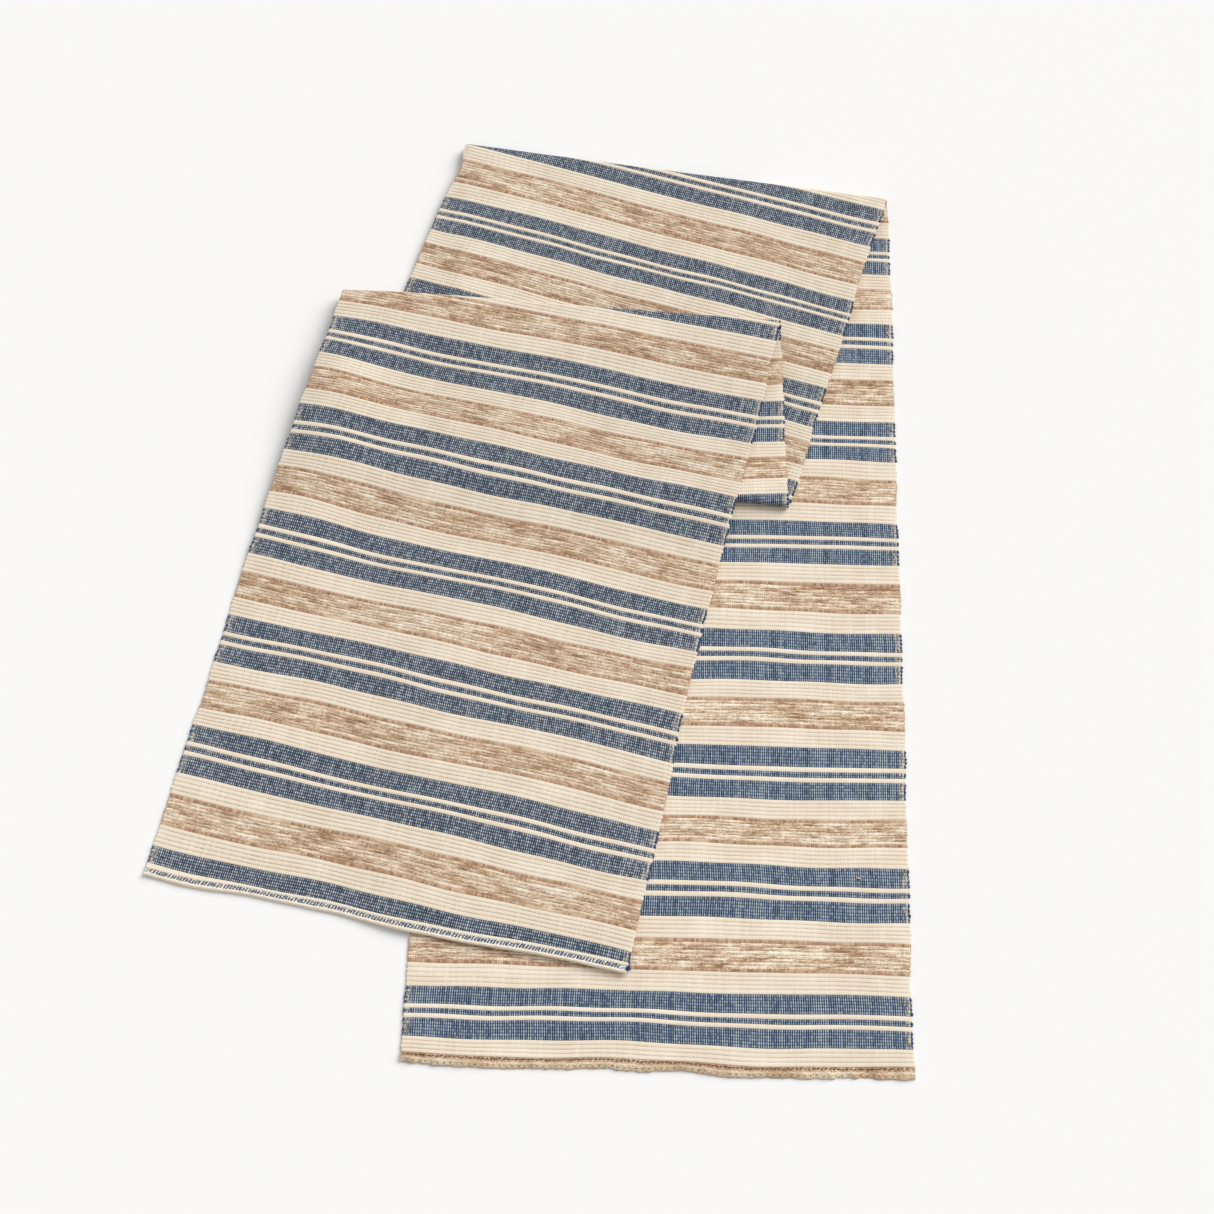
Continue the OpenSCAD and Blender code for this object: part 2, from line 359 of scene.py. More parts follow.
# ---------------------------------------------------------------- meshes
class Shape:
    """Collects the faces of one piece, with two UV maps: the place on the cloth, and the yarns."""

    def __init__(self, materials):
        self.materials = materials
        self.points, self.loops, self.sizes, self.mats = [], [], [], []
        self.uvs, self.yarns = [], []
        self.count = 0

    def add(self, points, faces, uv, yarn, material=0):
        """faces is a list of (m, 3 or 4) index arrays; uv and yarn are lists of (m, 3 or 4, 2)."""
        self.points.append(points)
        for f, c, w in zip(faces, uv, yarn):
            self.loops.append((f + self.count).ravel())
            self.sizes.append(np.full(len(f), f.shape[1]))
            self.mats.append(np.full(len(f), material))
            self.uvs.append(c.reshape(-1, 2))
            self.yarns.append(w.reshape(-1, 2))
        self.count += len(points)

    def object(self, name):
        mesh = bpy.data.meshes.new(name)
        points, loops = np.concatenate(self.points), np.concatenate(self.loops)
        sizes = np.concatenate(self.sizes)
        mesh.vertices.add(len(points))
        mesh.vertices.foreach_set("co", points.astype(np.float32).ravel())
        mesh.loops.add(len(loops))
        mesh.loops.foreach_set("vertex_index", loops.astype(np.int32))
        mesh.polygons.add(len(sizes))
        mesh.polygons.foreach_set(
            "loop_start", np.concatenate([[0], np.cumsum(sizes)[:-1]]).astype(np.int32)
        )
        mesh.polygons.foreach_set("material_index", np.concatenate(self.mats).astype(np.int32))
        mesh.polygons.foreach_set("use_smooth", np.ones(len(sizes), bool))
        for label, rows in (("cloth", self.uvs), ("yarns", self.yarns)):
            layer = mesh.uv_layers.new(name=label)
            layer.data.foreach_set("uv", np.concatenate(rows).astype(np.float32).ravel())
        for material in self.materials:
            mesh.materials.append(material)
        mesh.update(calc_edges=True)
        mesh.set_sharp_from_angle(angle=math.radians(55))
        obj = bpy.data.objects.new(name, mesh)
        link(obj)
        return obj


def cut_grid(us, vs, low, high):
    """A grid of columns and rows cut to low..high in each column: its points (u, v) and faces."""
    v = np.clip(vs[None, :], low[:, None], high[:, None])
    fresh = np.ones(v.shape, bool)
    fresh[:, 1:] = v[:, 1:] - v[:, :-1] > 1e-8
    ids = (np.cumsum(fresh.ravel()) - 1).reshape(v.shape)
    u = np.broadcast_to(us[:, None], v.shape)
    a, b, c, d = ids[:-1, :-1], ids[1:, :-1], ids[1:, 1:], ids[:-1, 1:]
    row = np.broadcast_to(np.arange(v.shape[1] - 1)[None, :], a.shape)
    quad, left, right = (a != d) & (b != c), (a == d) & (b != c), (a != d) & (b == c)
    quads = np.stack([a[quad], b[quad], c[quad], d[quad]], -1)
    tris = np.concatenate([
        np.stack([a[left], b[left], c[left]], -1), np.stack([a[right], b[right], d[right]], -1)
    ])
    return u[fresh], v[fresh], quads, tris, (row[quad], np.concatenate([row[left], row[right]]))


def rim(quads, tris):
    """The edges that only one face has, in that face's direction."""
    edges = np.concatenate([
        faces[:, [k, (k + 1) % corners]]
        for faces, corners in ((quads, 4), (tris, 3)) for k in range(corners)
    ])
    key = np.sort(edges, 1)
    _, first, counts = np.unique(key, axis=0, return_index=True, return_counts=True)
    return edges[first[counts == 1]]


def thicken(u, v, along_cloth, over, under, quads, tris):
    """A closed slab over(u, v) and under(u, v) deep each side of the middle of the cloth: its
    points, its faces and the edges of its rim."""
    p, _, _, out = cloth_frame(u, along_cloth)
    count, walls = len(u), rim(quads, tris)
    points = np.concatenate([p + out * over(u, v)[:, None], p - out * under(u, v)[:, None]])
    wall = np.stack([walls[:, 1], walls[:, 0], walls[:, 0] + count, walls[:, 1] + count], -1)
    return points, [quads, tris, quads[:, ::-1] + count, tris[:, ::-1] + count, wall], walls


def add_slab(shape, us, vs, low, high, materials=None):
    """A closed slab of ribbed cloth. materials picks a material for each row of faces."""
    u, v, quads, tris, rows = cut_grid(us, vs, low, high)
    if not len(quads) and not len(tris):
        return
    points, faces, walls = thicken(u, v, leaning(u, v), woven_depth, woven_depth, quads, tris)
    place = np.tile(np.stack([u, v], -1), (2, 1))
    back = place + np.array([1.0, 0.0])
    ends = np.tile(np.stack([u / END_PITCH, ribs_at(v)], -1), (2, 1))
    uv = [m[f] for m, f in zip([place, place, back, back, place], faces)]
    first = len(shape.mats)
    shape.add(points, faces, uv, [ends[f] for f in faces])
    if materials is not None:
        wall_row = np.searchsorted(vs, v[walls].mean(1), side="right") - 1
        of_walls = materials[np.clip(wall_row, 0, len(materials) - 1)]
        of_quads, of_tris = materials[rows[0]], materials[rows[1]]
        shape.mats[first:] = [of_quads, of_tris, of_quads, of_tris, of_walls]


BALL_RINGS, BALL_SIDES = 5, 8


def ball():
    """A unit ball as points and faces."""
    polar = np.arange(1, BALL_RINGS)[:, None] * math.pi / BALL_RINGS
    round_axis = np.arange(BALL_SIDES)[None, :] * 2 * math.pi / BALL_SIDES
    rings = np.stack([
        np.sin(polar) * np.cos(round_axis), np.sin(polar) * np.sin(round_axis),
        -np.cos(polar) + 0 * round_axis,
    ], -1).reshape(-1, 3)
    points = np.concatenate([[(0, 0, -1)], rings, [(0, 0, 1)]])
    k = np.arange(BALL_SIDES)
    j = (k + 1) % BALL_SIDES
    q = 1 + BALL_SIDES * np.arange(BALL_RINGS - 2)[:, None]
    quads = np.stack([q + k, q + j, q + BALL_SIDES + j, q + BALL_SIDES + k], -1).reshape(-1, 4)
    top = 1 + BALL_SIDES * (BALL_RINGS - 2)
    tris = np.concatenate([
        np.stack([0 * k, 1 + j, 1 + k], -1),
        np.stack([0 * k + len(points) - 1, top + k, top + j], -1),
    ])
    return points, quads, tris


BALL = ball()


def add_beads(shape, u, v, out_by, radii, material, tilt):
    """Ellipsoids at (u, v), out_by above the middle of the cloth, tilted in its plane. radii are
    across, along and out."""
    p, eu, ev, out = cloth_frame(u, leaning(u, v))
    ball_points, quads, tris = BALL
    c, s = np.cos(tilt)[:, None], np.sin(tilt)[:, None]
    axes = np.stack([eu * c + ev * s, ev * c - eu * s, out], 1)
    sizes = np.stack([np.broadcast_to(r, u.shape) for r in radii], -1)
    spread = sizes[:, None] * ball_points
    points = (p + out * out_by[:, None])[:, None] + spread @ axes
    shift = (np.arange(len(u)) * len(ball_points))[:, None, None]
    faces = [(f[None] + shift).reshape(-1, f.shape[1]) for f in (quads, tris)]
    place = (np.stack([u, v], -1)[:, None] + spread[..., :2]).reshape(-1, 2)
    yarn = np.stack([place[:, 0] / END_PITCH, ribs_at(place[:, 1])], -1)
    uv = [place[f] for f in faces]
    shape.add(points.reshape(-1, 3), faces, uv, [yarn[f] for f in faces], material)


def add_tube(shape, path, radius, material=0, sides=8, place=(0.0, 0.0)):
    """A round thread along a path of points, closed at both ends and thinner there."""
    path = np.asarray(path, float)
    m = len(path)
    radius = np.broadcast_to(radius, (m,)).copy()
    ahead = np.gradient(path, axis=0)
    ahead /= np.linalg.norm(ahead, axis=1, keepdims=True)
    normal = np.cross(ahead[0], (0.3, 0.5, 0.8))
    rings = []
    for k in range(m):
        normal = normal - ahead[k] * (normal @ ahead[k])
        normal /= np.linalg.norm(normal)
        other = np.cross(ahead[k], normal)
        a = np.arange(sides)[:, None] * 2 * math.pi / sides
        rings.append(path[k] + radius[k] * (np.cos(a) * normal + np.sin(a) * other))
    tip = radius[[0, -1]] * 0.6
    points = np.concatenate(
        rings + [path[:1] - ahead[:1] * tip[0], path[-1:] + ahead[-1:] * tip[1]]
    )
    k = np.arange(sides)
    j = (k + 1) % sides
    quads = np.concatenate([
        np.stack([r * sides + k, r * sides + j, (r + 1) * sides + j, (r + 1) * sides + k], -1)
        for r in range(m - 1)
    ])
    end = (m - 1) * sides
    tris = np.concatenate([
        np.stack([np.full(sides, m * sides), j, k], -1),
        np.stack([np.full(sides, m * sides + 1), end + k, end + j], -1),
    ])
    length = np.concatenate([[0], np.cumsum(np.linalg.norm(np.diff(path, axis=0), axis=1))])
    uv = np.stack([
        np.append(np.tile(k / sides * 3 * MM, m), [0, 0]) + place[0],
        np.append(np.repeat(length, sides), [0, length[-1]]) + place[1],
    ], -1)
    faces = [quads, tris]
    shape.add(points, faces, [uv[f] for f in faces], [uv[f] * 1000 for f in faces], material)


# ---------------------------------------------------------------- materials
class Finish:
    """A Principled material whose nodes are written as arithmetic."""

    def __init__(self, name, roughness=0.88, sheen=0.12, specular=0.25):
        self.material = bpy.data.materials.new(name)
        self.material.use_nodes = True
        self.tree = self.material.node_tree
        self.tree.nodes.clear()
        output = self.node("ShaderNodeOutputMaterial")
        self.shader = self.node("ShaderNodeBsdfPrincipled")
        self.shader.inputs["Roughness"].default_value = roughness
        self.shader.inputs["Sheen Weight"].default_value = sheen
        self.shader.inputs["Sheen Roughness"].default_value = 0.5
        self.shader.inputs["Specular IOR Level"].default_value = specular
        self.tree.links.new(self.shader.outputs[0], output.inputs[0])

    def node(self, kind, **settings):
        made = self.tree.nodes.new(kind)
        for key, value in settings.items():
            setattr(made, key, value)
        return made

    def put(self, socket, value):
        if isinstance(value, bpy.types.NodeSocket):
            self.tree.links.new(value, socket)
        elif isinstance(value, tuple) and len(value) == 3 and socket.type == "RGBA":
            socket.default_value = (*value, 1)
        else:
            socket.default_value = value

    def math(self, operation, *values):
        made = self.node("ShaderNodeMath", operation=operation)
        for socket, value in zip(made.inputs, values):
            self.put(socket, value)
        return made.outputs[0]

    def add(self, *values):
        total = values[0]
        for value in values[1:]:
            total = self.math("ADD", total, value)
        return total

    def mul(self, *values):
        total = values[0]
        for value in values[1:]:
            total = self.math("MULTIPLY", total, value)
        return total

    def ramp(self, value, low, high, to_low=0.0, to_high=1.0):
        made = self.node("ShaderNodeMapRange", interpolation_type="SMOOTHSTEP")
        for socket, v in zip(made.inputs, (value, low, high, to_low, to_high)):
            self.put(socket, v)
        return made.outputs[0]

    def mix(self, share, a, b):
        made = self.node("ShaderNodeMix", data_type="RGBA")
        made.clamp_factor = True
        self.put(made.inputs[0], share)
        self.put(made.inputs[6], a)
        self.put(made.inputs[7], b)
        return made.outputs[2]

    def choose(self, share, a, b):
        made = self.node("ShaderNodeMix", data_type="FLOAT")
        for k, value in ((0, share), (2, a), (3, b)):
            self.put(made.inputs[k], value)
        return made.outputs[0]

    def vector(self, x, y, z=0.0):
        made = self.node("ShaderNodeCombineXYZ")
        for socket, value in zip(made.inputs, (x, y, z)):
            self.put(socket, value)
        return made.outputs[0]

    def pair(self, label):
        place = self.node("ShaderNodeUVMap", uv_map=label)
        parts = self.node("ShaderNodeSeparateXYZ")
        self.put(parts.inputs[0], place.outputs[0])
        return parts.outputs[0], parts.outputs[1]

    def noise(self, x, y, z=0.0, detail=2.0, roughness=0.5, distortion=0.0):
        made = self.node("ShaderNodeTexNoise")
        self.put(made.inputs["Vector"], self.vector(x, y, z))
        made.inputs["Scale"].default_value = 1
        made.inputs["Detail"].default_value = detail
        made.inputs["Roughness"].default_value = roughness
        made.inputs["Distortion"].default_value = distortion
        return made.outputs[0]

    def dice(self, x, y=0.0, z=0.0):
        """A random number for each cell of whole x, y and z."""
        made = self.node("ShaderNodeTexWhiteNoise", noise_dimensions="3D")
        self.put(made.inputs["Vector"], self.vector(x, y, z))
        return made.outputs[0]

    def colours(self, value, *stops):
        made = self.node("ShaderNodeValToRGB")
        elements = made.color_ramp.elements
        while len(elements) < len(stops):
            elements.new(0.5)
        for element, (position, colour) in zip(elements, stops):
            element.position = position
            element.color = (*colour, 1)
        self.put(made.inputs[0], value)
        return made.outputs[0]

    def finish(self, colour, height, depth):
        """depth is how deep in millimetres a height of 1 is."""
        self.put(self.shader.inputs["Base Color"], colour)
        bump = self.node("ShaderNodeBump")
        bump.inputs["Strength"].default_value = 1
        bump.inputs["Distance"].default_value = depth * MM
        self.put(bump.inputs["Height"], height)
        self.put(self.shader.inputs["Normal"], bump.outputs[0])
        return self.material


class Woven(Finish):
    """A finish that knows where the warp ends and the ribs are, and which face it is on."""

    def __init__(self, name, **settings):
        super().__init__(name, **settings)
        u, v = self.pair("cloth")
        self.back = self.math("GREATER_THAN", u, 0.5)
        self.u = self.mul(self.math("SUBTRACT", u, self.back), 1000)
        self.v = self.mul(v, 1000)
        self.end, self.rib = self.pair("yarns")
        self.end_id, self.rib_id = self.math("FLOOR", self.end), self.math("FLOOR", self.rib)
        # 1 on the middle of an end or rib, 0 in the groove beside it
        self.on_end = self.ridge(self.end)
        self.on_rib = self.ridge(self.rib)

    def cloud(self, across, along_cloth, seed, **settings):
        """Noise that turns about this often for each millimetre across and along the cloth."""
        return self.noise(self.mul(self.u, across), self.mul(self.v, along_cloth), seed, **settings)

    def ridge(self, value):
        turn = self.math("COSINE", self.mul(value, 2 * math.pi))
        return self.math("MULTIPLY_ADD", turn, -0.5, 0.5)


def srgb(r, g, b):
    """A colour given as it looks on a screen, 0 to 255, as linear light."""
    return tuple(
        c / 255 / 12.92 if c <= 10 else ((c / 255 + 0.055) / 1.055) ** 2.4 for c in (r, g, b)
    )


def cream_finish(name, groove_share=1.0):
    m = Woven(name)
    blotch = m.cloud(0.025, 0.06, 3.0, detail=3)
    fibre = m.cloud(0.35, 3.2, 7.0, detail=3, roughness=0.65)
    per_rib = m.dice(m.rib_id, 4.0)
    per_end = m.dice(m.end_id, 9.0)
    cell = m.dice(m.end_id, m.rib_id)
    base = m.mix(m.ramp(blotch, 0.35, 0.65), srgb(247, 237, 220), srgb(239, 226, 206))
    base = m.mix(m.mul(m.ramp(fibre, 0.4, 0.8), 0.55), base, srgb(220, 201, 175))
    base = m.mix(m.mul(per_rib, 0.3), base, srgb(229, 212, 188))
    # the warp shows as dots in the groove between two ribs
    groove = m.ramp(m.on_rib, 0.3, 0.0)
    dots = m.add(m.mul(m.on_end, 0.5), m.mul(per_end, 0.3), m.mul(cell, 0.45))
    strength = m.choose(m.back, 0.68 * groove_share, 0.82 * groove_share)
    worn = m.ramp(blotch, 0.3, 0.6, 0.6, 1.1)
    shown = m.mul(groove, m.ramp(dots, 0.1, 1.0), strength, worn)
    tint = m.mix(m.back, srgb(180, 152, 122), srgb(156, 140, 118))
    colour = m.mix(shown, base, tint)
    # and as faint lines across the ribs
    seam = m.mul(m.ramp(m.on_end, 0.5, 0.0), m.ramp(per_end, -0.4, 0.9), 0.5)
    colour = m.mix(seam, colour, srgb(208, 186, 157))
    colour = m.mix(m.mul(m.back, 0.1), colour, srgb(196, 178, 152))
    height = m.add(m.mul(m.on_rib, 0.5), m.mul(m.on_end, 0.35), m.mul(fibre, 0.5))
    return m.finish(colour, height, 0.12)


def indigo_finish():
    m = Woven("indigo_weft", roughness=0.9, sheen=0.08)
    per_end = m.dice(m.end_id, 2.0)
    cell = m.dice(m.end_id, m.rib_id, 1.0)
    drift = m.cloud(0.03, 0.02, 5.0, detail=3)
    fibre = m.cloud(2.2, 2.2, 1.0, detail=2)
    # face 1: a grid of upright ticks, each end a little lighter or darker than the next
    line = m.add(m.mul(per_end, 0.2), m.mul(cell, 0.24), m.mul(m.on_end, 0.8), m.mul(drift, 0.1))
    front = m.colours(m.ramp(line, 0.1, 1.2), (0.0, srgb(22, 40, 66)), (0.4, srgb(66, 86, 109)),
                      (0.8, srgb(120, 137, 156)), (1.0, srgb(200, 207, 212)))
    front = m.mix(m.mul(m.ramp(m.on_rib, 0.5, 0.0), 0.72), front, srgb(45, 61, 83))
    # face 2: ticks of uneven brightness, with a broken pale end here and there
    spot = m.mul(m.on_end, m.math("MULTIPLY_ADD", m.on_rib, 0.6, 0.4))
    bright = m.dice(m.end_id, m.rib_id, 3.0)
    speckle = m.add(m.mul(spot, 0.66), m.mul(bright, 0.26), m.mul(per_end, 0.1),
                    m.mul(drift, 0.12), m.mul(fibre, 0.1))
    rear = m.colours(m.ramp(speckle, 0.1, 1.05), (0.0, srgb(22, 35, 58)), (0.4, srgb(76, 89, 105)),
                     (0.8, srgb(144, 151, 158)), (1.0, srgb(220, 220, 216)))
    stray = m.mul(m.math("GREATER_THAN", m.dice(m.end_id, 6.0), 0.985),
                  m.math("GREATER_THAN", cell, 0.45), m.ramp(m.on_rib, 0.3, 0.6))
    rear = m.mix(m.mul(stray, 0.6), rear, srgb(196, 198, 196))
    colour = m.mix(m.back, front, rear)
    height = m.add(m.mul(m.on_end, 0.6), m.mul(m.on_rib, 0.5), m.mul(fibre, 0.3))
    return m.finish(colour, height, 0.12)


def tan_finish():
    m = Woven("tan_slub_weft")
    shift = m.mul(m.dice(m.rib_id, 8.0), 40)
    crinkle = m.noise(m.add(m.mul(m.u, 0.13), shift), m.mul(m.v, 1.3), 2.0, detail=4,
                     roughness=0.66, distortion=0.6)
    slub = m.noise(m.add(m.mul(m.u, 0.04), shift), m.mul(m.rib_id, 3.7), 6.0, detail=2)
    fleck = m.cloud(0.55, 2.4, 4.0, detail=3)
    band = m.cloud(0.012, 0.05, 11.0, detail=2)
    # Partly painted light: crinkle paints dark shade and near-white highlights along the slub's
    # crinkles into the colour, while slub, fleck and band are the yarn's own tone.
    tone = m.add(m.mul(crinkle, 0.62), m.mul(slub, 0.5), m.mul(fleck, 0.44), m.mul(band, 0.22))
    colour = m.colours(
        m.ramp(tone, 0.68, 1.1), (0.0, srgb(255, 247, 230)), (0.3, srgb(244, 228, 203)),
        (0.54, srgb(221, 194, 163)), (0.76, srgb(184, 147, 114)), (1.0, srgb(122, 90, 68)),
    )
    cell = m.dice(m.end_id, m.rib_id, 5.0)
    groove = m.mul(m.ramp(m.on_rib, 0.42, 0.0), m.ramp(cell, 0.0, 0.8), 0.72)
    colour = m.mix(groove, colour, srgb(134, 99, 75))
    seam = m.mul(m.ramp(m.on_end, 0.5, 0.0), m.ramp(cell, -0.2, 1.0), 0.35)
    colour = m.mix(seam, colour, srgb(160, 124, 96))
    colour = m.mix(m.mul(m.back, 0.14), colour, srgb(150, 125, 100))
    height = m.add(m.mul(crinkle, 0.8), m.mul(m.on_rib, 0.4), m.mul(m.on_end, 0.2))
    return m.finish(colour, height, 0.22)


def brown_finish():
    m = Woven("brown_weft")
    presence = m.noise(m.mul(m.u, 0.022), m.mul(m.rib_id, 5.1), 9.0, detail=3, roughness=0.6)
    cell = m.dice(m.end_id, m.rib_id, 7.0)
    per_end = m.dice(m.end_id, 12.0)
    ticks = m.add(m.mul(m.on_end, 0.3), m.mul(per_end, 0.35), m.mul(cell, 0.35))
    brown = m.colours(m.ramp(ticks, 0.05, 0.95), (0.0, srgb(146, 106, 82)),
                      (0.5, srgb(178, 140, 112)), (1.0, srgb(212, 182, 152)))
    faded = m.mix(m.mul(cell, 0.5), srgb(224, 200, 170), srgb(200, 166, 134))
    colour = m.mix(m.ramp(presence, 0.7, 0.52), faded, brown)
    height = m.add(m.mul(m.on_rib, 0.5), m.mul(m.on_end, 0.4))
    return m.finish(colour, height, 0.12)


def selvedge_finish():
    m = Woven("selvedge")
    fine = m.mul(m.end, 2)
    fine_id = m.math("FLOOR", fine)
    lines = m.add(m.mul(m.ridge(fine), 0.35), m.mul(m.dice(fine_id, 14.0), 0.4),
                  m.mul(m.dice(fine_id, m.rib_id, 2.0), 0.45))
    colour = m.colours(m.ramp(lines, 0.15, 1.05), (0.0, srgb(50, 64, 88)),
                       (0.42, srgb(118, 123, 128)), (1.0, srgb(232, 221, 202)))
    colour = m.mix(m.mul(m.ramp(m.on_rib, 0.5, 0.0), 0.6), colour, srgb(60, 72, 94))
    height = m.add(m.mul(m.on_rib, 0.6), m.mul(m.on_end, 0.4))
    return m.finish(colour, height, 0.12)


def thread_finish(name, dark, light):
    m = Finish(name, sheen=0.15)
    u, v = m.pair("cloth")
    u, v = m.mul(u, 1000), m.mul(v, 1000)
    twist = m.math("SINE", m.mul(m.add(u, m.mul(v, 1.3)), 4.2))
    patch = m.noise(m.mul(u, 0.4), m.mul(v, 0.4), 3.0, detail=3)
    share = m.ramp(m.add(m.mul(twist, 0.18), patch), 0.2, 0.85)
    return m.finish(m.mix(share, dark, light), m.add(twist, patch), 0.08)


def base_hem_finish():
    m = Woven("base_hem_cloth")
    patch = m.cloud(0.03, 0.05, 21.0, detail=2)
    fleck = m.cloud(0.7, 1.3, 5.0, detail=4, roughness=0.72)
    diagonal = m.ridge(m.add(m.mul(m.u, 0.42), m.mul(m.v, 0.7)))
    tone = m.add(m.mul(patch, 0.5), m.mul(fleck, 0.75), m.mul(diagonal, 0.16))
    colour = m.colours(
        m.ramp(tone, 0.48, 1.0), (0.0, srgb(252, 239, 214)), (0.36, srgb(238, 216, 184)),
        (0.64, srgb(216, 182, 146)), (0.84, srgb(174, 130, 96)), (1.0, srgb(118, 80, 56)),
    )
    crumb = m.cloud(0.5, 0.5, 13.0, detail=3, roughness=0.7)
    top = m.mul(m.ramp(m.v, HEM / MM - 4.0, HEM / MM - 2.6), m.ramp(crumb, 0.32, 0.6), 0.9)
    colour = m.mix(top, colour, srgb(146, 101, 71))
    # Painted shade: dark brown lines in the hem's creases, about 2.2 mm apart, broken up by fleck.
    crease = m.mul(m.ramp(m.ridge(m.mul(m.v, 0.45)), 0.25, 0.0), m.ramp(fleck, 0.35, 0.6), 0.7)
    colour = m.mix(crease, colour, srgb(128, 88, 62))
    height = m.add(m.mul(fleck, 1.1), m.mul(diagonal, 0.5), m.mul(m.on_end, 0.3))
    return m.finish(colour, height, 0.4)


def top_hem_finish():
    m = Woven("top_hem_cloth")
    inner = (TOTAL - HEM) / MM
    into = m.math("SUBTRACT", m.v, inner)
    cell = m.dice(m.math("FLOOR", m.mul(m.end, 1.5)), m.math("FLOOR", m.mul(into, 1.1)), 2.0)
    fleck = m.cloud(1.1, 1.4, 5.0, detail=3, roughness=0.7)
    speckle = m.colours(m.ramp(m.add(m.mul(cell, 0.6), m.mul(fleck, 0.5)), 0.15, 0.95),
                        (0.0, srgb(104, 116, 134)), (0.35, srgb(168, 174, 180)),
                        (0.75, srgb(226, 222, 212)), (1.0, srgb(250, 242, 226)))
    rolled = m.colours(m.ramp(fleck, 0.3, 0.7), (0.0, srgb(226, 208, 184)),
                       (1.0, srgb(252, 241, 222)))
    band = m.mul(m.ramp(into, 1.9, 2.3), m.ramp(into, 6.0, 5.6))
    colour = m.mix(band, rolled, speckle)
    height = m.add(fleck, m.mul(m.on_end, 0.4))
    return m.finish(colour, height, 0.2)


CREAM_WEFT = cream_finish("cream_weft")
PIN_WEFT = cream_finish("pin_weft", 0.5)
INDIGO_WEFT = indigo_finish()
TAN_WEFT = tan_finish()
BROWN_WEFT = brown_finish()
EDGE_BLUE = selvedge_finish()
FLOAT_BLUE = thread_finish("float_blue", srgb(14, 42, 80), srgb(44, 84, 130))
# Its near-white light end is partly the cream yarn's colour and partly a painted highlight along
# the lit rim of the selvedge.
FLOAT_CREAM_PAINTED_HIGHLIGHT = thread_finish("float_cream_painted_highlight", srgb(232, 212, 184), srgb(255, 247, 232))
FLOAT_TAN = thread_finish("float_tan", srgb(176, 128, 84), srgb(236, 208, 170))
BROWN_THREAD = thread_finish("brown_thread", srgb(78, 48, 34), srgb(150, 104, 74))
NAVY_THREAD = thread_finish("navy_thread", srgb(22, 36, 60), srgb(58, 78, 106))
KNOT = thread_finish("knot_thread", srgb(14, 48, 88), srgb(44, 96, 146))
HEM_TAN = base_hem_finish()
HEM_BLUE = top_hem_finish()
WEFT = {"indigo": INDIGO_WEFT, "pin": PIN_WEFT, "cream": CREAM_WEFT, "tan": TAN_WEFT,
        "brown": BROWN_WEFT}

# ---------------------------------------------------------------- pieces
COLUMNS = np.linspace(-HALF_W + SELVEDGE, HALF_W - SELVEDGE, 90)
EDGE_STEPS = np.array([0, 1.5, 3, 4.2, 4.8]) * MM
NARROWEST = 10 * MM
sheets, going_with = [[] for _ in LAYERS], [[] for _ in LAYERS]


def fold_place(n, us, past):
    """The stripe place at fold n in each column, past to one side of the crease."""
    return weft_at(us, CREASE[n] - us * math.tan(SKEWS[n]) + past / math.cos(SKEWS[n]))


def limits(i, us):
    """The stripe places where layer i's flat part starts and ends, in each column."""
    low = weft_at(us, np.full(us.shape, HEM)) if i == 0 else fold_place(i, us, HALF_TURN[i])
    if i == 3:
        return low, weft_at(us, np.full(us.shape, TOTAL - HEM))
    return low, fold_place(i + 1, us, -HALF_TURN[i + 1])


def turn_limits(n, us):
    return fold_place(n, us, -HALF_TURN[n]), fold_place(n, us, HALF_TURN[n])


def place_piece(obj, body, slot, node):
    if body:
        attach(obj, body)
    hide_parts(node)


def declare(obj, i, flat):
    """Lists obj among layer i's sheets, or among its narrow pieces if it is narrow."""
    if min(flat) < NARROWEST:
        going_with[i].append(obj)
    else:
        sheets[i].append((obj, flat))


NODE_OF = {
    "indigo": ("indigo_bands", "indigo_weft"), "pin": ("pinstripes", "cream_weft"),
    "cream": ("cream_bands", "cream_weft"), "tan": ("tan_bands", "tan_slub_weft"),
    "brown": ("brown_lines", "brown_weft"),
}


def add_tuft(shape, u, v, outward, spread, count, radius, seed):
    """A nub of loose fibres that stands a little out of the cloth."""
    rng = np.random.default_rng(seed)
    p, eu, ev, out = (a[0] for a in cloth_frame(np.array([u]), np.array([leaning(u, v)])))
    out = out * outward
    for _ in range(count):
        a, b = rng.uniform(-1, 1, 2)
        bend = rng.uniform(-1, 1, 2)
        steps = np.linspace(-1, 1, 9)[:, None]
        path = (
            p + out * (CORE + 0.25 * MM)
            + eu * (steps * a + bend[0] * steps**2) * spread
            + ev * (steps * b * 0.6 + bend[1] * steps**2 * 0.4) * spread
            + out * (1 - steps**2) * spread * 0.35
        )
        taper = radius * (1 - 0.6 * np.abs(steps[:, 0]))
        add_tube(shape, path, taper, 0, 6, (u, v))


for i, layer in enumerate(LAYERS):
    low, high = limits(i, COLUMNS)
    for kind, (node, slot_name) in NODE_OF.items():
        shape, length = Shape([WEFT[kind]]), 0.0
        for stripe_kind, v0, v1, rows, _ in stripes:
            if stripe_kind != kind or v1 <= low.min() or v0 >= high.max():
                continue
            lo, hi = np.clip(low, v0, v1), np.clip(high, v0, v1)
            add_slab(shape, COLUMNS, rows, lo, hi)
            length += float(np.mean(np.maximum(hi - lo, 0)))
        obj = shape.object(f"{layer}_{kind}_cloth")
        place_piece(obj, BODIES[i], slot_name, f"{layer}_{node}")
        declare(obj, i, (2 * (HALF_W - SELVEDGE), length))


KIND_MATERIAL = {kind: k for k, kind in enumerate(WEFT)}
EDGE_MATERIALS = [EDGE_BLUE, PIN_WEFT, CREAM_WEFT, TAN_WEFT, BROWN_WEFT,
                  FLOAT_BLUE, FLOAT_CREAM_PAINTED_HIGHLIGHT, FLOAT_TAN, INDIGO_WEFT]
BLUE_FLOAT, CREAM_FLOAT_PAINTED_HIGHLIGHT, TAN_FLOAT, INDIGO_FIELD = 5, 6, 7, 8


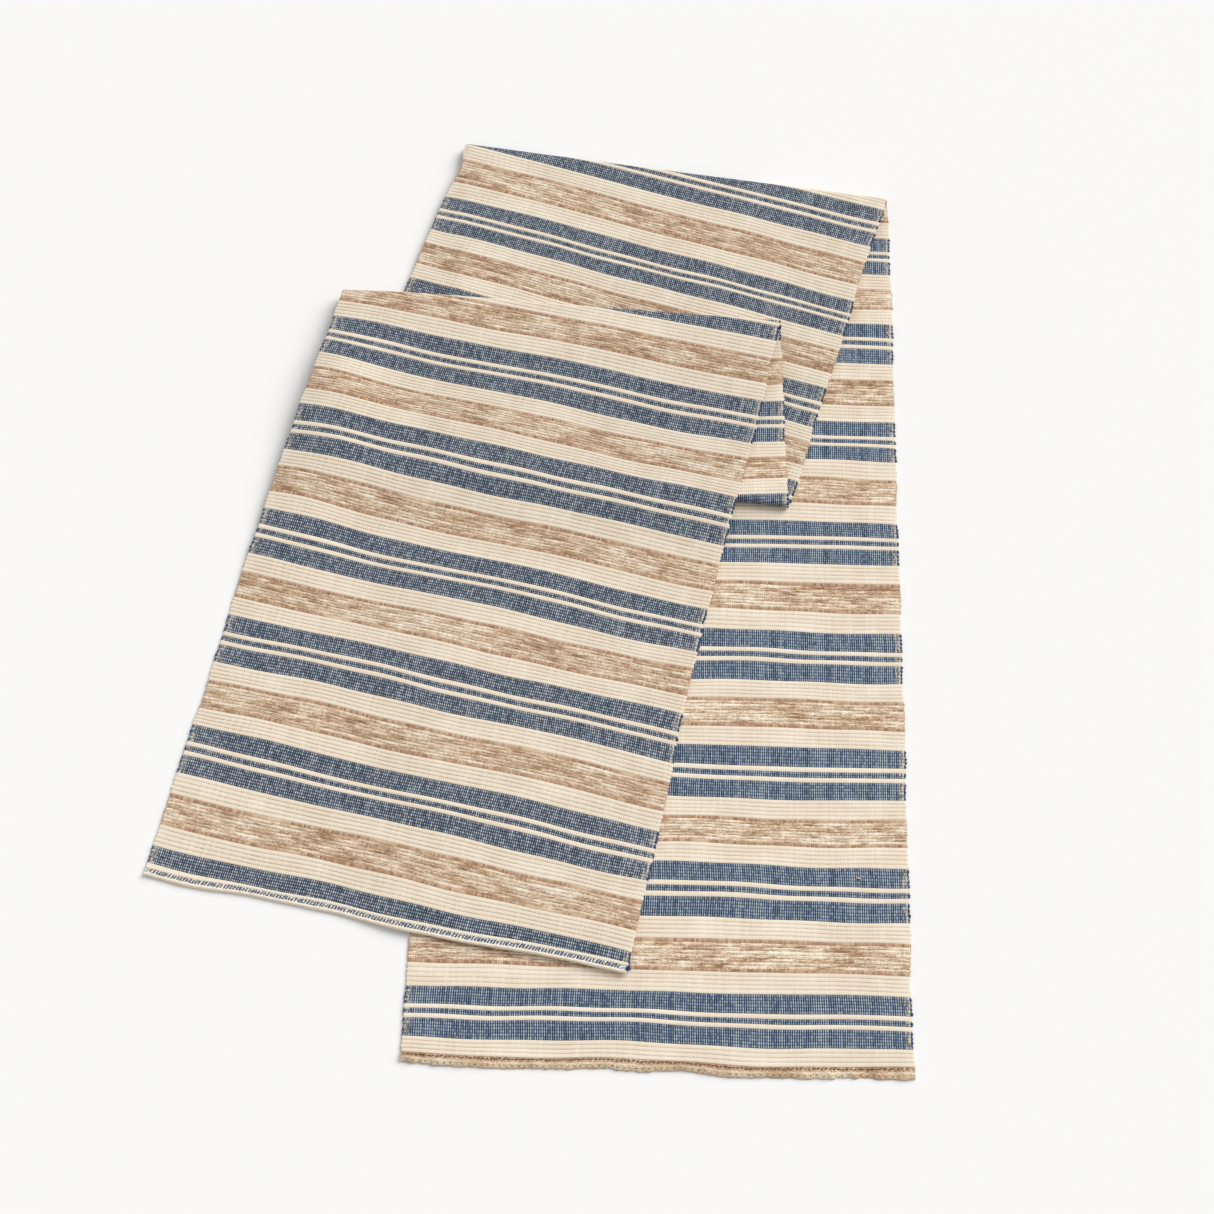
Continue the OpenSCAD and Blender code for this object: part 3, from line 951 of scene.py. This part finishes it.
def add_edge_floats(shape, right, v_low, v_high):
    """The weft yarns that turn round the edge: dark floats beside indigo, beads beside cream."""
    rng = np.random.default_rng(int(v_low * 1e5) + right)
    sign = 1 if right else -1
    for kind, v0, v1, *_ in stripes:
        v0, v1 = max(v0, v_low), min(v1, v_high)
        if v1 - v0 < 1 * MM:
            continue
        pitch = 3.3 * MM if kind == "indigo" else 3.1 * MM if kind == "cream" else 2.2 * MM
        count = max(1, round((v1 - v0) / pitch))
        step = (v1 - v0) / count
        v = v0 + (np.arange(count) + 0.5) * step + rng.uniform(-0.25, 0.25, count) * MM
        u = sign * (HALF_W - 0.3 * MM + rng.uniform(-0.35, 0.35, count) * MM)
        out_by = rng.uniform(-0.15, 0.15, count) * MM
        tilt = rng.normal(0, 0.15, count) * sign
        size = rng.uniform(0.75, 1.3, count)
        if kind == "indigo":
            radii = (0.85 * MM * size, step * 0.46, 0.6 * MM)
            add_beads(shape, u, v, out_by, radii, BLUE_FLOAT, tilt)
            inner = np.full(count, sign * (HALF_W - 1.8 * MM))
            radii = (0.45 * MM * size, step * 0.34, 0.6 * MM)
            add_beads(shape, inner, v + step / 2, out_by * 0.5, radii, CREAM_FLOAT_PAINTED_HIGHLIGHT, tilt)
        else:
            radii = (0.65 * MM * size, step * 0.45, 0.55 * MM)
            # The cream beads at the rim carry a painted highlight in their near-white colour.
            tint = TAN_FLOAT if kind in ("tan", "brown") else CREAM_FLOAT_PAINTED_HIGHLIGHT
            add_beads(shape, u, v, out_by * 0.6, radii, tint, tilt)


def rows_between(low, high):
    """The cloth's rows of faces from low to high, and the material of each one's stripe."""
    inside = (ROW_V > low) & (ROW_V < high)
    rows = np.unique(np.concatenate([ROW_V[inside], [low, high]]).round(9))
    kinds = [stripes[k][0] for k in stripe_at((rows[:-1] + rows[1:]) / 2)]
    return rows, np.array([KIND_MATERIAL[k] for k in kinds])


RIGHT_EDGE = HALF_W - SELVEDGE + EDGE_STEPS
LEFT_EDGE = -RIGHT_EDGE[::-1]

for i, layer in enumerate(LAYERS):
    for right in (False, True):
        us = RIGHT_EDGE if right else LEFT_EDGE
        low, high = limits(i, us)
        shape = Shape(EDGE_MATERIALS)
        rows, mats = rows_between(low.min(), high.max())
        add_slab(shape, us, rows, low, high, mats)
        rim_column = -1 if right else 0
        add_edge_floats(shape, right, low[rim_column], high[rim_column])
        where = "right" if right else "left"
        obj = shape.object(f"{layer}_{where}_edge")
        place_piece(obj, BODIES[i], "selvedge", f"{layer}_{where}_selvedge")
        declare(obj, i, (SELVEDGE, float(np.mean(high - low))))

BLEND_MARGIN = 0.4 * MM


def turn_blend(n):
    """The points between which turn n's cloth passes from the lower layer to the upper one."""
    us = np.concatenate([LEFT_EDGE, COLUMNS, RIGHT_EDGE])
    lower, upper = (cloth(us, leaning(us, lim)) for lim in turn_limits(n, us))
    line = lower[-1] - lower[0] + upper[-1] - upper[0]
    line /= np.linalg.norm(line)
    up = (upper - lower).mean(0)
    up -= line * (up @ line)
    up /= np.linalg.norm(up)
    middle_point = (lower.mean(0) + upper.mean(0)) / 2
    first = ((lower - middle_point) @ up).max() + BLEND_MARGIN
    last = ((upper - middle_point) @ up).min() - BLEND_MARGIN
    return tuple(middle_point + up * first), tuple(middle_point + up * last)


for n in (1, 2, 3):
    shape = Shape(EDGE_MATERIALS)
    low, high = turn_limits(n, np.array([-HALF_W, HALF_W]))
    rows, mats = rows_between(low.min(), high.max())
    for us in (LEFT_EDGE, COLUMNS, RIGHT_EDGE):
        lo, hi = turn_limits(n, us)
        shown = np.where(mats == 0, INDIGO_FIELD, mats) if us is COLUMNS else mats
        add_slab(shape, us, rows, lo, hi, shown)
    for right in (False, True):
        add_edge_floats(shape, right, low[int(right)], high[int(right)])
    obj = shape.object(TURNS[n].replace("_turn", "_cloth"))
    BODIES[n - 1]
    BODIES[n]
    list(turn_blend(n))
    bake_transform(obj)
    place_piece(obj, None, "fold_cloth", TURNS[n])
    declare(obj, n - 1, (2 * HALF_W / math.cos(SKEWS[n]), 2 * HALF_TURN[n]))

# Nubs where a weft yarn was joined: layer, place along it, place across, threads, spread,
# thickness, seed and material. Each goes with the layer that it lies on.
NUBS = (
    (0, 150, 141, 5, 1.7, 0.28, 51, FLOAT_CREAM_PAINTED_HIGHLIGHT), (0, 343, 112, 4, 1.2, 0.3, 52, FLOAT_BLUE),
    (0, 33, -157, 3, 1.2, 0.3, 53, FLOAT_BLUE), (3, 433, -94, 4, 1.2, 0.35, 54, FLOAT_BLUE),
    (3, 533, -168, 5, 1.5, 0.35, 55, FLOAT_BLUE), (3, 86, 108, 3, 1.0, 0.3, 56, FLOAT_BLUE),
)
for i, at_v, at_u, threads, spread, thick, seed, material in NUBS:
    shape = Shape([material])
    u, v = at_u * MM, weft_at(at_u * MM, along[i] + at_v * MM)
    add_tuft(shape, u, v, -1 if i % 2 else 1, spread * MM, threads, thick * MM, seed)
    nub = shape.object(f"{LAYERS[i]}_nub_{seed}")
    kind = stripes[int(stripe_at(v))][0]
    place_piece(nub, BODIES[i], NODE_OF[kind][1], f"{LAYERS[i]}_{NODE_OF[kind][0]}")

# ---------------------------------------------------------------- hems, sewing and the knot
HEM_COLUMNS = np.linspace(-HALF_W + 0.2 * MM, HALF_W - 0.2 * MM, 330)


def base_hem_over(u, v):
    f = np.clip(v / HEM, 0, 1)
    body = 2.1 * MM * (1 - np.abs(2 * f - 1) ** 3) ** 0.6
    pucker = waves(u, v * 0.8, 31, (0.008, 0.32), (0.017, 0.4), (0.05, 0.35))
    pinch = 0.16 * np.cos(2 * math.pi * u / (2.8 * MM)) * np.exp(-((f - 0.82) / 0.12) ** 2)
    return -0.2 * MM + body * (1 + 0.35 * pucker + pinch)


def base_hem_under(u, v):
    f = np.clip(v / HEM, 0, 1)
    return 0.42 * MM + 0.2 * MM * (1 - np.abs(2 * f - 1) ** 3)


def top_hem_over(u, v):
    """The top hem is rolled the other way, so this is its thin side: face 1 lies below."""
    return 0.5 * MM + 0 * u


def top_hem_under(u, v):
    f = np.clip((v - TOTAL + HEM) / HEM, 0, 1)
    pin = 0.35 * np.sqrt(np.clip(1 - ((f - 0.13) / 0.13) ** 2, 0, 1))
    roll = 1.15 * np.sqrt(np.clip(1 - ((f - 0.86) / 0.15) ** 2, 0, 1))
    pucker = waves(u, v, 33, (0.008, 0.1), (0.02, 0.12))
    return (0.62 + pin + roll * (1 + pucker) + 0.25 * pucker) * MM


def hem_piece(name, node, i, material, v0, over, under, outline):
    shape = Shape([material])
    v1 = v0 + HEM
    ends = [np.full(HEM_COLUMNS.shape, v) for v in (v0, v1)]
    u, v, quads, tris, _ = cut_grid(HEM_COLUMNS, np.linspace(v0, v1, 19), *ends)
    points, faces, _ = thicken(u, v, outline(u, v), over, under, quads, tris)
    place = np.tile(np.stack([u, v], -1), (2, 1))
    yarn = np.tile(np.stack([u / END_PITCH, v / (2 * MM)], -1), (2, 1))
    shape.add(points, faces, [place[f] for f in faces], [yarn[f] for f in faces])
    obj = shape.object(name)
    place_piece(obj, BODIES[i], "hem_cloth", node)
    declare(obj, i, (2 * HALF_W, HEM))


def base_outline(u, v):
    """The hem's rim wanders in and out between its stitches."""
    rim_share = np.clip(1 - v / HEM, 0, 1)
    wander = waves(u, 0 * u, 35, (0.05, 0.7 * MM), (0.018, 0.45 * MM), (0.007, 0.3 * MM))
    return v + rim_share * wander


def top_outline(u, v):
    rim_share = np.clip((v - TOTAL + HEM) / HEM, 0, 1)
    return v + rim_share * waves(u, 0 * u, 37, (0.08, 0.35 * MM), (0.02, 0.12 * MM))


hem_piece("base_hem_cloth_roll", "base_hem", 0, HEM_TAN, 0.0,
          base_hem_over, base_hem_under, base_outline)
hem_piece("top_hem_cloth_roll", "top_hem", 3, HEM_BLUE, TOTAL - HEM,
          top_hem_over, top_hem_under, top_outline)

for i, layer in enumerate(LAYERS):
    for obj, flat in sheets[i]:
        more = going_with[i] if obj.name == f"{layer}_cream_cloth" else ()
        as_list(more)


def add_stitches(shape, outward, depth, outline, v_at, pitch, length, slope, radius, seed):
    """Short threads over a hem, each dipping into the cloth at both ends."""
    rng = np.random.default_rng(seed)
    steps = np.linspace(0, 1, 7)
    for k in range(int(2 * (HALF_W - HEM_INSET) / pitch)):
        u0 = -HALF_W + HEM_INSET + k * pitch + rng.uniform(-0.25, 0.25) * MM
        reach_u = length * rng.uniform(0.8, 1.2)
        us = u0 + reach_u * steps
        vs = v_at + slope * (steps - 0.5) * reach_u + rng.uniform(-0.25, 0.25) * MM
        p, _, _, out = cloth_frame(us, outline(us, vs))
        rise = depth(us, vs) + (np.sin(math.pi * steps) * 0.45 - 0.15) * MM
        add_tube(shape, p + outward * out * rise[:, None], radius, 0, 6, (u0, v_at))


HEM_INSET = 4 * MM
shape = Shape([BROWN_THREAD])
add_stitches(shape, 1, base_hem_over, base_outline, v_at=6.2 * MM, pitch=2.9 * MM,
             length=1.5 * MM, slope=0.3, radius=0.42 * MM, seed=41)
add_stitches(shape, 1, base_hem_over, base_outline, v_at=1.4 * MM, pitch=4.3 * MM,
             length=1.1 * MM, slope=-0.2, radius=0.22 * MM, seed=42)
place_piece(shape.object("base_hem_sewing"), BODIES[0], "sewing_thread", "base_hem_stitches")

shape = Shape([NAVY_THREAD])
add_stitches(shape, -1, top_hem_under, top_outline, v_at=TOTAL - HEM + 3.9 * MM, pitch=2.3 * MM,
             length=1.25 * MM, slope=-2.3, radius=0.4 * MM, seed=43)
place_piece(shape.object("top_hem_sewing"), BODIES[3], "sewing_thread", "top_hem_stitches")

shape = Shape([KNOT])
knot_u, knot_v = np.array([HALF_W + 0.6 * MM]), np.array([TOTAL - HEM / 2])
p, eu, ev, out = (a[0] for a in cloth_frame(knot_u, knot_v))
out = -out
a = np.linspace(0, 2 * math.pi, 61)
trefoil = np.stack([
    (np.sin(a) + 2 * np.sin(2 * a)) / 3, (np.cos(a) - 2 * np.cos(2 * a)) / 3, -np.sin(3 * a)
], -1) * 1.25 * MM
middle_of_knot = p + out * 1.2 * MM
add_tube(shape, middle_of_knot + trefoil @ np.stack([eu, ev, out]), 0.75 * MM, 0, 8)
steps = np.linspace(0, 1, 12)[:, None]
long_end = (-1.6 * out - 9 * ev - 0.8 * eu) * steps * MM
short_end = (-1.8 * out * steps + 3.2 * ev * steps - 1.5 * eu * steps**2) * MM
add_tube(shape, middle_of_knot + long_end, 0.45 * MM, 0, 6)
add_tube(shape, middle_of_knot + short_end, 0.4 * MM * (1 - 0.5 * steps[:, 0]), 0, 6)
place_piece(shape.object("top_corner_thread_knot"), BODIES[3], "knot_thread", "top_corner_knot")

# ---------------------------------------------------------------- floor, light and camera
FLOOR_REACH = 80
floor_mesh = bpy.data.meshes.new("floor")
corners = [(x * FLOOR_REACH, y * FLOOR_REACH, 0) for x, y in ((-1, -1), (1, -1), (1, 1), (-1, 1))]
floor_mesh.from_pydata(corners, [], [(0, 1, 2, 3)])
floor = bpy.data.objects.new("floor", floor_mesh)
link(floor)
floor_finish = Finish("floor", roughness=0.9, sheen=0, specular=0.1)
floor_finish.shader.inputs["Base Color"].default_value = (0.905, 0.9, 0.893, 1)
floor_mesh.materials.append(floor_finish.material)

world = bpy.data.worlds.new("studio")
world.use_nodes = True
background = world.node_tree.nodes["Background"]
background.inputs["Color"].default_value = (1, 1, 1, 1)
background.inputs["Strength"].default_value = 0.548
bpy.context.scene.world = world

key = bpy.data.lights.new("key", "SUN")
key.energy = 2.7
key.angle = math.radians(40)
key_light = bpy.data.objects.new("key", key)
key_light.rotation_euler = (math.radians(-28), math.radians(48), 0)
link(key_light)

camera_data = bpy.data.cameras.new("camera")
camera_data.lens = 74.14
camera_data.sensor_width = 36
camera = bpy.data.objects.new("camera", camera_data)
camera.location = (0.0476, -0.979, 1.665)
camera.rotation_euler = (math.radians(29.5), 0, 0)
link(camera)
bpy.context.scene.camera = camera
bpy.context.scene.view_settings.view_transform = "Standard"
